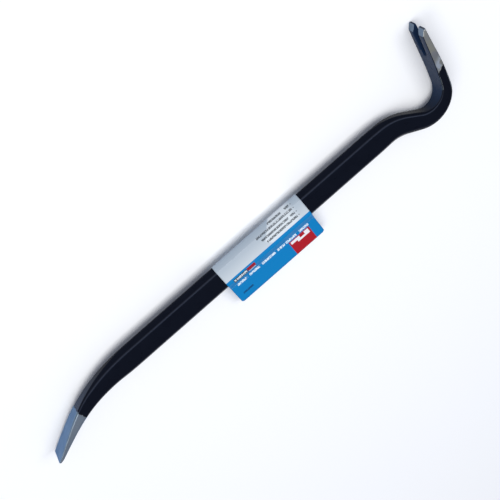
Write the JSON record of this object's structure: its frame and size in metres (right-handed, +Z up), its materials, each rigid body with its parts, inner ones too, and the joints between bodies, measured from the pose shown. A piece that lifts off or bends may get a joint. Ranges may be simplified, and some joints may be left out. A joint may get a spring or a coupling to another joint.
{
  "type": "pry bar",
  "caption": "Flattened-hexagon steel pry bar lying on its side, with a slotted gooseneck claw, a curved flat chisel and a folded card sleeve that slides on the shank.",
  "frame": {"origin": "under the middle of the bar's box, on the surface that it lies on", "axes": "+X along the shank towards the gooseneck, +Y in the plane of the bends to the side that the claw points to, +Z up, square to that plane"},
  "size_m": [0.6096, 0.1194, 0.0387],
  "materials": {
    "forged_steel": "black gloss enamel, ground bright at the ends",
    "printed_card": "coated, printed",
    "dry_glue": "clear"
  },
  "bodies": {
    "bar": {"pry_bar": "forged_steel"},
    "label": {"label_card": "printed_card", "label_glue": "dry_glue"}
  },
  "joints": [
    {"name": "label_slide", "type": "slide", "parent": "bar", "child": "label", "axis": [1, 0, 0], "range_m": [-0.135, 0.107]}
  ]
}
